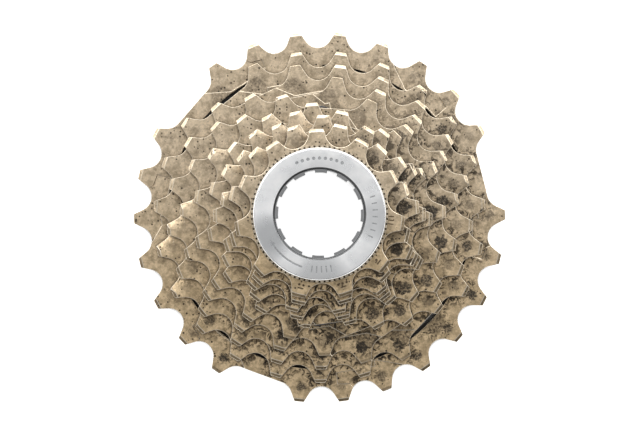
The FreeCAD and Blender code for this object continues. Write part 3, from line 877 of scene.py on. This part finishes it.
# %% One sprocket from start to finish
def make_sprocket(cog):
    riveted = cog.teeth in RIVET_REACH
    bore = cog.ring_bore if riveted else SPLINE_RADIUS
    if cog.teeth == 11:
        bore = PLATE_BORE_11T
    lows = [*cog.low, -1, -1, -1]  # no tooth has the number -1
    sizes = {"Teeth": cog.teeth, "First": cog.first, "Root": cog.root, "Tip": cog.tip}
    sizes |= {"Seat": SEAT_RADIUS, "Flank": FLANK_ANGLE, "Bore": bore}
    sizes |= {"Rear": cog.rear, "Thickness": PLATE, "Material": NICKEL_OF[cog.teeth]}
    plate = grow(cog.node, TOOTHED_PLATE, LowA=lows[0], LowB=lows[1], LowC=lows[2], **sizes)
    heal(plate)
    thin_tips(plate, cog)
    for number in cog.low + cog.ramps:
        sink_ramp(plate, cog, number)
    for number in cog.bevels:
        slope_tooth(plate, cog, number)
    if riveted:
        ear = strap(RIVET_REACH[cog.teeth], cog.ring_bore + EAR_ROOT, cog.rear, cog.front)
        cut(plate, repeat(ear, ARMS, FIRST_ARM - math.pi / 2), "UNION")
        drill_rivet_holes(plate, cog.teeth, cog.rear - MM, cog.front + MM)
        return plate
    if cog.teeth in BOSS_WALLS:
        outside = SPLINE_RADIUS + BOSS_WALLS[cog.teeth]
        profile = rectangle(SPLINE_RADIUS, outside, cog.bottom, cog.rear)
        cut(plate, lathe("boss", profile), "UNION")
    spline_top = cog.rear if cog.teeth == 11 else cog.front
    return add_splines(plate, cog.bottom, spline_top)


sprockets = {}
for cog in COGS:
    sprockets[cog.teeth] = make_sprocket(cog)
    print(cog.node, "open edges", open_edges(sprockets[cog.teeth]))


# %% Round the sprockets
for cog in COGS:
    round_edges(sprockets[cog.teeth], STEEL_ROUNDING, NICKEL_OF[cog.teeth], NICKEL_EDGE)


# %% [markdown]
# ## Scale marks
# The real faces carry engraved words. They are left out, and plain marks stand in their
# place: lines, dots and bars on the smallest sprocket, and later a row of dots, a curved
# arrow that shows the way to tighten, and ticks like those of a scale on the lockring.
# Each mark is a shallow cut, and what repeats comes from the same tree.

# %% Engraving
ENGRAVED = 0.10 * MM
DEGREE = math.radians(1)
MARK_CREASE = 20 * DEGREE


def stained(name, colour, roughness):
    """The dull floor of a mark, where dirt stays."""
    p = Paint(name, Metallic=0.7)
    stain = p.noise(2.5, 4.0)
    shade = tuple(0.55 * part for part in colour)
    p.set(Base_Color=p.blend(p.ramp(stain, 0.35, 0.65), shade, colour), Roughness=roughness)
    return p.material


MARK_IN_NICKEL = stained("mark_in_nickel", (0.16, 0.115, 0.07), 0.6)
MARK_IN_ALUMINIUM = stained("mark_in_aluminium", (0.46, 0.47, 0.48), 0.5)


def engrave(piece, tool, finish):
    """Cuts a mark into a finished face, darkens its floor and keeps the face flat in the light."""
    floor_height = min(corner.co.z for corner in tool.data.vertices)
    cut(piece, tool)
    if finish.name not in piece.data.materials:
        piece.data.materials.append(finish)
    number = piece.data.materials.find(finish.name)
    for part in piece.data.polygons:
        if part.normal.z > 0.99 and abs(part.center.z - floor_height) < 0.001 * MM:
            part.material_index = number
    stored = piece.data.attributes.get("custom_normal")
    if stored:
        piece.data.attributes.remove(stored)
    piece.data.shade_smooth()
    piece.data.set_sharp_from_angle(angle=MARK_CREASE)
    return piece


def bar(inner, outer, width, face):
    """A radial stroke on +X."""
    outline = rectangle(inner, outer, -width / 2, width / 2)
    return prism("bar", outline, face - ENGRAVED, face + MM)


def dot(radius, size, face):
    return prism("dot", disc(size, (radius, 0), 16), face - ENGRAVED, face + MM)


def arc_arrow(radius, width, start, finish, face):
    """A curved stroke from start to finish with a head at its end."""
    steps = [start + (finish - start) * step / 16 for step in range(17)]
    outline = [polar(radius - width / 2, angle) for angle in steps]
    outline.append(polar(radius - 1.6 * width, finish))
    outline.append(polar(radius, finish + math.copysign(3.4 * width / radius, finish - start)))
    outline.append(polar(radius + 1.6 * width, finish))
    outline += [polar(radius + width / 2, angle) for angle in reversed(steps)]
    return prism("arrow", outline, face - ENGRAVED, face + MM)


# %% Marks on the smallest sprocket
LINES_AT = (18.6 * MM, 20.1 * MM)
BAR_AT = (20.4 * MM, 20.8 * MM)
DOT_APART = 3.4 * DEGREE


def mark_smallest(piece, cog):
    face = cog.front
    lines = repeat(bar(*LINES_AT, 0.3 * MM, face), 3, -8 * DEGREE, 3 * DEGREE)
    engrave(piece, lines, MARK_IN_NICKEL)
    for tooth, dots in ((7, 2), (8, 3), (9, 1)):
        centre = cog.angle(tooth)
        first = centre - (dots - 1) * DOT_APART / 2
        row = repeat(dot(19.7 * MM, 0.34 * MM, face), dots, first, DOT_APART)
        engrave(piece, row, MARK_IN_NICKEL)
        engrave(piece, repeat(bar(*BAR_AT, 1.6 * MM, face), 1, centre), MARK_IN_NICKEL)


mark_smallest(sprockets[11], ring[11])


# %% Deliver the sprockets
for cog in COGS:
    deliver(sprockets[cog.teeth], cog.node, cog.body)


# %% [markdown]
# ## Carriers and spacers
# The five large rings are riveted to two black anodised carriers, and plastic spacers
# stand between the loose rings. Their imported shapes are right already, apart from their
# edges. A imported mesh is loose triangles, so each piece is built again from its points,
# which are merged, and then its edges are rounded like those of a milled or moulded part.

# %% Black finishes
def black_anodised():
    p = Paint("black_anodised", Metallic=0.0, IOR=1.6)
    cloud = p.noise(0.35, 4.0)
    dust = p.ramp(p.noise(0.9, 5.0, 0.7), 0.52, 0.74, 0.0, 0.55)
    grain = p.noise(7.0, 3.0)
    shade = p.blend(p.ramp(cloud, 0.3, 0.7), (0.014, 0.014, 0.016), (0.028, 0.027, 0.028))
    p.set(
        Base_Color=p.blend(dust, shade, (0.10, 0.085, 0.065)),
        Roughness=p.ramp(p.plus(grain, dust), 0.3, 1.2, 0.34, 0.62),
        Normal=p.bump(grain, 0.02 * MM, 0.5),
    )
    return p.material


def black_plastic():
    p = Paint("black_plastic", IOR=1.48)
    grain = p.noise(9.0, 2.0)
    sink = p.noise(0.25, 2.0)
    p.set(
        Base_Color=p.blend(p.ramp(sink, 0.3, 0.7), (0.012, 0.012, 0.012), (0.024, 0.023, 0.022)),
        Roughness=p.ramp(grain, 0.3, 0.7, 0.48, 0.66),
        Normal=p.bump(p.plus(grain, sink), 0.03 * MM, 0.6),
    )
    return p.material


BLACK_ANODISED = black_anodised()
BARE_EDGE = worn_edge("anodised_edge", (0.10, 0.10, 0.105), 0.34)
BLACK_PLASTIC = black_plastic()


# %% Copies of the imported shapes, with round edges
def copy_of(node):
    """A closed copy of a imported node."""
    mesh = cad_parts[node].data
    corners = [tuple(corner.co) for corner in mesh.vertices]
    return solid(node, corners, [tuple(face.vertices) for face in mesh.polygons])


for node, body in (("carrier_large", "large_cluster"), ("carrier_small", "small_cluster")):
    piece = round_edges(copy_of(node), CARRIER_ROUNDING, BLACK_ANODISED, BARE_EDGE)
    deliver(piece, node, body)

for behind, before in ((17, 15), (15, 14), (14, 13)):
    node = f"spacer_{behind}t_{before}t"
    piece = round_edges(copy_of(node), SPACER_ROUNDING, BLACK_PLASTIC)
    deliver(piece, node, f"outer_spacer_{behind}t")


# %% [markdown]
# ## Rivets
# A rivet is a pin whose ends are pressed into low domes. One is turned for each length,
# and the tree of pairs sets eight of them in place. An end that another ring covers is
# pressed flush and has no dome.

# %% Rivets in pairs
def rivet_steel():
    p = Paint("rivet_steel", Metallic=1.0)
    spots = p.noise(0.8, 4.0, 0.65)
    p.set(
        Base_Color=p.blend(p.ramp(spots, 0.4, 0.68), (0.52, 0.49, 0.45), (0.19, 0.16, 0.13)),
        Roughness=p.ramp(spots, 0.35, 0.7, 0.28, 0.55),
        Normal=p.bump(p.noise(3.0, 3.0), 0.02 * MM, 0.6),
    )
    return p.material


RIVET_STEEL = rivet_steel()
HEAD_RIM = 0.2 * MM
DOME_STEPS = 5


def dome(end, face):
    """Section of a head from its middle, at height end, to the shank, at height face."""
    rim = face + math.copysign(HEAD_RIM, end - face)
    points = []
    for step in range(DOME_STEPS + 1):
        out, up = polar(1.0, math.pi / 2 * (1 - step / DOME_STEPS))
        points.append((RIVET_HEAD * out if step else 0.0, rim + (end - rim) * up))
    return points + [(RIVET_HEAD, face), (RIVET_RADIUS, face)]


def make_rivets(teeth, body, rear_head=True, front_head=True):
    node = f"rivets_{teeth}t"
    low, high = heights(node)
    rear = dome(low, low + HEAD_HEIGHT) if rear_head else [(0.0, low), (RIVET_RADIUS, low)]
    front = dome(high, high - HEAD_HEIGHT) if front_head else [(0.0, high), (RIVET_RADIUS, high)]
    shape = lathe("rivet", rear + front[::-1], steps=32)
    sizes = {"First": FIRST_ARM, "Reach": RIVET_REACH[teeth], "Spread": RIVET_SPREAD}
    rivets = grow(node, RIVET_PAIRS, Rivet=shape, Arms=ARMS, Material=RIVET_STEEL, **sizes)
    bpy.data.objects.remove(shape)
    rivets.data.shade_smooth()
    rivets.data.set_sharp_from_angle(angle=SHARP)
    return deliver(rivets, node, body)


make_rivets(26, "large_cluster", front_head=False)
make_rivets(23, "large_cluster")
make_rivets(21, "large_cluster")
make_rivets(19, "small_cluster", front_head=False)
make_rivets(17, "small_cluster", rear_head=False)


# %% [markdown]
# ## Lockring and its washer
# The lockring is turned from aluminium. A lathe tool leaves fine rings on the face, and
# they make light fan out, which an anisotropic shader shows with a tangent that runs
# round the axle. Three darker fans in the colour are painted reflections, and the mouth
# and the tabs carry a painted shade. Twelve tabs inside take the removal tool, and the
# collar has a thread of 1 mm pitch. The serrated washer under it shows as a row of dark
# gaps round the rim, over a painted shade on the smallest ring's face.

# %% Metal of the lockring and the washer
# Darker fans painted into the face's colour, as painted reflections of the dark parts of the room
PAINTED_FANS = {205: 0.80, 272: 0.50, 355: 0.55}  # depth of each darker fan, by degrees from +X
PAINTED_FAN_COLOUR = (0.42, 0.43, 0.44)
# Inside these radii the socket's mouth and tabs get a painted shade, as in a recess
MOUTH_FROM, TABS_FROM = 12.47, 11.90  # radii in mm, inside which the metal is duller


def turned_aluminium():
    p = Paint("turned_aluminium", Metallic=1.0, Anisotropic=0.75)
    radius, angle, _ = p.axes()
    smear = p.noise(0.22, 4.0, 0.6)
    handling = p.ramp(p.noise(1.4, 5.0, 0.7), 0.55, 0.85, 0.0, 0.10)
    face = p.blend(p.ramp(smear, 0.3, 0.7), (0.88, 0.89, 0.90), (0.97, 0.97, 0.97))
    for middle, depth in PAINTED_FANS.items():
        painted_fan = p.ramp(p.maths("COSINE", p.minus(angle, math.radians(middle))), 0.88, 1.0)
        face = p.blend(p.times(painted_fan, depth), face, PAINTED_FAN_COLOUR)
    # Painted shade on the mouth and on the tabs, which lie sunk in the socket
    mouth = p.ramp(radius, MOUTH_FROM, MOUTH_FROM - 0.03)
    tabs = p.ramp(radius, TABS_FROM, TABS_FROM - 0.04)
    shade = p.blend(tabs, (0.36, 0.365, 0.37), (0.30, 0.305, 0.31))
    rings = p.add("ShaderNodeTexNoise", {"W": p.times(radius, 9.0)}, noise_dimensions="1D")
    tangent = p.add("ShaderNodeTangent", direction_type="RADIAL", axis="Z").outputs[0]
    p.set(
        Base_Color=p.blend(mouth, face, shade),
        Roughness=p.plus(p.ramp(smear, 0.3, 0.7, 0.26, 0.34), handling),
        Tangent=tangent,
        Normal=p.bump(rings.outputs["Fac"], 0.012 * MM, 0.5),
    )
    return p.material


def turned_edge():
    """Bright on the rim, with a painted shade inside the mouth of the socket."""
    p = Paint("turned_edge", Metallic=1.0, Roughness=0.26)
    mouth = p.ramp(p.axes()[0], 12.55, 12.50)
    p.set(Base_Color=p.blend(mouth, (0.85, 0.85, 0.85), (0.16, 0.162, 0.165)))
    return p.material


def washer_steel():
    p = Paint("washer_steel", Metallic=1.0)
    stain = p.noise(0.9, 4.0)
    p.set(
        Base_Color=p.blend(p.ramp(stain, 0.45, 0.75), (0.62, 0.54, 0.42), (0.25, 0.20, 0.14)),
        Roughness=p.ramp(stain, 0.3, 0.7, 0.36, 0.6),
        Normal=p.bump(stain, 0.02 * MM, 0.6),
    )
    return p.material


TURNED_ALUMINIUM = turned_aluminium()
TURNED_EDGE = turned_edge()
WASHER_STEEL = washer_steel()

# %% Washer
WASHER_BORE = 16.1 * MM
WASHER_RADIUS = 18.45 * MM
SERRATIONS = 84
NOTCH_DEPTH = 0.5 * MM
NOTCH_WIDTH = 0.55 * MM

HAIR = 0.01 * MM


def make_washer():
    low, rim = heights("lockring_washer")
    high = rim - HAIR  # so that the washer's face and the rim's never cross
    washer = lathe("washer", rectangle(WASHER_BORE, WASHER_RADIUS, low, high), steps=252)
    half = NOTCH_WIDTH / 2
    outline = rectangle(-half, half, WASHER_RADIUS - NOTCH_DEPTH, WASHER_RADIUS + MM)
    cut(washer, repeat(prism("notch", outline, low - MM, high + MM), SERRATIONS))
    return round_edges(washer, WASHER_ROUNDING, WASHER_STEEL, NICKEL_EDGE)


deliver(make_washer(), "lockring_washer", "washer")


# %% The rule of the thread
STEPS_A_TURN = 72
ACROSS = 5  # corners in a column of the strip
FOOT_HALF_WIDTH = 0.44  # in pitches, as is the next
CREST_NARROWER = 0.36
SUNK = 0.2  # how much of the depth the foot reaches into the core
FADES_A_TURN = 4.0


def thread():
    """A ridge that climbs round the axle and fades out at both ends. It is a strip with a
    column for each step of the climb. The last corner of a column meets its first."""
    r = Recipe("Thread", "Core Depth Pitch Start Turns")
    turns, pitch, depth = (r.value(label) for label in ("Turns", "Pitch", "Depth"))
    columns = r.times(turns, STEPS_A_TURN)
    strip = r.add("GeometryNodeMeshGrid", {"Vertices X": columns, "Vertices Y": ACROSS})
    column = r.maths("FLOOR", r.over(r.plus(r.index, 0.5), ACROSS))
    corner = r.maths("MODULO", r.index, ACROSS)
    share = r.over(column, r.minus(columns, 1))
    turned = r.times(share, turns)
    to_end = r.maths("MINIMUM", turned, r.minus(turns, turned))
    fade = r.maths("MINIMUM", 1.0, r.times(to_end, FADES_A_TURN))
    # Corners 1 and 2 are the crest, and 0, 3 and 4 are the foot
    is_crest = r.maths("COMPARE", corner, 1.5, 0.6)
    upper = r.maths("COMPARE", corner, 2.5, 0.6)
    side = r.minus(r.times(upper, 2), 1)
    width = r.minus(FOOT_HALF_WIDTH, r.times(is_crest, CREST_NARROWER))
    lift = r.times(r.times(side, width), r.times(fade, pitch))
    out = r.times(r.minus(is_crest, SUNK), r.times(fade, depth))
    radius = r.plus(r.value("Core"), out)
    climb = r.plus(r.value("Start"), r.times(turned, pitch))
    place = r.vector(radius, 0.0, r.plus(climb, lift))
    place = r.turned(place, r.times(turned, 2 * math.pi))
    return r.end(r.merged(r.moved(strip.outputs[0], Position=place)))


THREAD = thread()

# %% Lockring
COLLAR_RADIUS = 15.25 * MM
THREAD_DEPTH = 0.55 * MM
THREAD_PITCH = 1.0 * MM
COLLAR_LENGTH = 5.6 * MM
FLANGE_RADIUS = 17.8 * MM
SOCKET = 11.85 * MM
SOCKET_TAB_DEPTH = 0.65 * MM
SOCKET_TAB_ANGLE = math.radians(16)
SOCKET_TABS = 12
FIRST_SOCKET_TAB = math.radians(-2)
SOCKET_FLOOR = 1.4 * MM
MOUTH_WIDTH = 0.25 * MM
MOUTH_DEPTH = 0.9 * MM
FLANGE_EDGE = 0.35 * MM
THREAD_START = 0.8 * MM
THREAD_TURNS = 4.0


def lockring_body(low, top, relief, core, mouth):
    """The turned body: collar, flange and socket, with its mouth and its relief."""
    flange, ledge, floor = low + COLLAR_LENGTH, top - MOUTH_DEPTH, low + SOCKET_FLOOR
    edge, rim = FLANGE_EDGE, FLANGE_RADIUS
    profile = [(relief, low), (core - edge, low), (core, low + edge), (core, flange)]
    profile += [(rim - edge / 2, flange), (rim, flange + edge / 2), (rim, top - edge)]
    profile += [(rim - edge, top), (mouth + edge, top), (mouth, top - edge)]
    profile += [(mouth, ledge), (SOCKET, ledge), (SOCKET, floor), (relief, floor)]
    return lathe("lockring", profile, steps=240)


def socket_tab(low, high):
    """One tab of the socket, about +X."""
    turns = [0.5, 0.25, 0, -0.25, -0.5]
    outline = [polar(SOCKET - SOCKET_TAB_DEPTH, turn * SOCKET_TAB_ANGLE) for turn in turns[::-1]]
    outline += [polar(SOCKET + FLANGE_EDGE, turn * SOCKET_TAB_ANGLE) for turn in turns]
    return prism("tab", outline, low, high)


def make_lockring(low, top, mouth):
    core = COLLAR_RADIUS - THREAD_DEPTH
    lockring = lockring_body(low, top, SOCKET + SOCKET_TAB_DEPTH, core, mouth)
    tab = socket_tab(low + SOCKET_FLOOR, top - MOUTH_DEPTH)
    cut(lockring, repeat(tab, SOCKET_TABS, FIRST_SOCKET_TAB), "UNION")
    round_edges(lockring, LOCKRING_ROUNDING, TURNED_ALUMINIUM, TURNED_EDGE)
    sizes = {"Core": core, "Depth": THREAD_DEPTH, "Pitch": THREAD_PITCH}
    sizes |= {"Start": low + THREAD_START, "Turns": THREAD_TURNS}
    ridge = heal(grow("ridge", THREAD, Material=TURNED_ALUMINIUM, **sizes))
    print("thread open edges", open_edges(ridge))
    return cut(lockring, ridge, "UNION")


collar_end, lockring_face = heights("lockring")
mouth_radius = SOCKET + MOUTH_WIDTH
lockring = make_lockring(collar_end, lockring_face, mouth_radius)


# %% Marks on the lockring
def ticks(radius, length, count, first, step, face):
    """A row of radial strokes, like those of a scale."""
    shape = bar(radius - length / 2, radius + length / 2, 0.32 * MM, face)
    return repeat(shape, count, first * DEGREE, step * DEGREE)


def mark_lockring(piece, middle, face):
    """Dots at the top, an arrow at the lower left, and ticks below and at the right."""
    dots = repeat(dot(middle, 0.45 * MM, face), 9, 66 * DEGREE, 6 * DEGREE)
    arrow = arc_arrow(middle, 0.45 * MM, 252 * DEGREE, 214 * DEGREE, face)
    low_ticks = ticks(middle, 1.8 * MM, 5, 262, 5, face)
    side_ticks = ticks(middle, 1.4 * MM, 7, -24, 7, face)
    for mark in (dots, arrow, low_ticks, side_ticks):
        engrave(piece, mark, MARK_IN_ALUMINIUM)


mark_lockring(lockring, (mouth_radius + FLANGE_RADIUS) / 2, lockring_face)
deliver(lockring, "lockring", "lockring")

# %% [markdown]
# ## Floor, light and camera
# The object lies on a pale floor in soft light. Three square lamps stand round its upper
# side and light the sloped tips there, and the sky is a little brighter towards the top
# and the left. The floor adds white only where a camera or a mirror sees it. Under the
# object, where ambient occlusion finds the floor shut off, the white stops and the floor's colour
# is a painted shade.

# %% Floor
FLOOR_SIZE = 3.0
FLOOR_GAP = 0.05 * MM
SHADE_REACH = 16 * MM
OPEN_FROM, OPEN_TO = 0.40, 0.49
PAINTED_FLOOR_SHADE = (0.10, 0.10, 0.10)
PALE = (0.8, 0.8, 0.8)


def pale_floor():
    material = bpy.data.materials.new("pale_floor")
    material.use_nodes = True
    w = Wiring(material.node_tree)
    w.tree.nodes.clear()
    rays = w.add("ShaderNodeLightPath").outputs
    mirrored = w.maths("MAXIMUM", rays["Is Glossy Ray"], rays["Is Transmission Ray"])
    seen = w.maths("MAXIMUM", rays["Is Camera Ray"], mirrored)
    room = w.add("ShaderNodeAmbientOcclusion", {"Distance": SHADE_REACH}).outputs["AO"]
    inputs = {"Value": room, "From Min": OPEN_FROM, "From Max": OPEN_TO}
    is_open = w.add("ShaderNodeMapRange", inputs).outputs[0]
    # Where ambient occlusion finds the floor shut off, its colour is a painted shade
    plain = w.add("ShaderNodeBsdfDiffuse", {"Color": w.blend(is_open, PAINTED_FLOOR_SHADE, PALE)})
    glow = w.add("ShaderNodeEmission", {"Strength": w.times(is_open, seen)})
    both = w.add("ShaderNodeAddShader", {0: plain.outputs[0], 1: glow.outputs[0]})
    w.add("ShaderNodeOutputMaterial", {"Surface": both.outputs[0]})
    return material


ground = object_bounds()[0][2] - FLOOR_GAP
edge = FLOOR_SIZE / 2
floor_mesh = bpy.data.meshes.new("floor")
corners = [(x, y, ground) for x, y in rectangle(-edge, edge, -edge, edge)]
floor_mesh.from_pydata(corners, [], [(0, 1, 2, 3)])
floor = new_object("floor", floor_mesh)
floor.data.materials.append(pale_floor())


# %% Sky and lamps
SKY_BASE = 0.225
SKY_SLOPE = (-0.13, 0.13, 0.45)  # how much it brightens towards +X, +Y and straight up
SKY_LEAST = 0.08
LAMP_HEIGHT = math.radians(32)
LAMP_DISTANCE = 0.8
LAMP_SIZE = 0.6
LAMPS = {35: 2.8, 85: 3.6, 135: 2.8}  # watts, by degrees round from +X
LAMPS_AIM = Vector((0, 0, 0.02))


def sky():
    world = bpy.context.scene.world or bpy.data.worlds.new("sky")
    bpy.context.scene.world = world
    world.use_nodes = True
    w = Wiring(world.node_tree)
    w.tree.nodes.clear()
    place = w.add("ShaderNodeTexCoord").outputs["Generated"]
    x, y, z = w.add("ShaderNodeSeparateXYZ", {0: place}).outputs
    along_x, along_y, upwards = SKY_SLOPE
    bright = w.plus(w.times(w.maths("MAXIMUM", z, 0.0), upwards), w.times(y, along_y))
    bright = w.plus(bright, w.plus(w.times(x, along_x), SKY_BASE))
    white = w.add("ShaderNodeLightPath").outputs["Is Camera Ray"]
    bright = w.maths("MAXIMUM", w.maths("MAXIMUM", bright, SKY_LEAST), white)
    inputs = {"Color": (1, 1, 1, 1), "Strength": bright}
    background = w.add("ShaderNodeBackground", inputs).outputs[0]
    w.add("ShaderNodeOutputWorld", {"Surface": background})


def lamp(name, azimuth, power):
    """A square soft lamp that looks at the object's middle."""
    light = bpy.data.lights.new(name, "AREA")
    light.size = LAMP_SIZE
    light.energy = power
    away = Vector((*polar(math.cos(LAMP_HEIGHT), azimuth), math.sin(LAMP_HEIGHT)))
    holder = new_object(name, light)
    holder.location = LAMPS_AIM + away * LAMP_DISTANCE
    holder.rotation_euler = away.to_track_quat("Z", "Y").to_euler()


sky()
for azimuth, power in LAMPS.items():
    lamp(f"lamp_{azimuth}", math.radians(azimuth), power)

# %% Camera
LENS = 107.4
DISTANCE = 0.5117
TILT = math.radians(1.28)
AIM = Vector((0.00013, 0.00008, 0.0409))

camera = new_object("camera", bpy.data.cameras.new("camera"))
camera.data.lens = LENS
camera.location = AIM + Vector((0, -math.sin(TILT), math.cos(TILT))) * DISTANCE
camera.rotation_euler = (TILT, 0, 0)
bpy.context.scene.camera = camera
bpy.context.scene.view_settings.view_transform = "Standard"
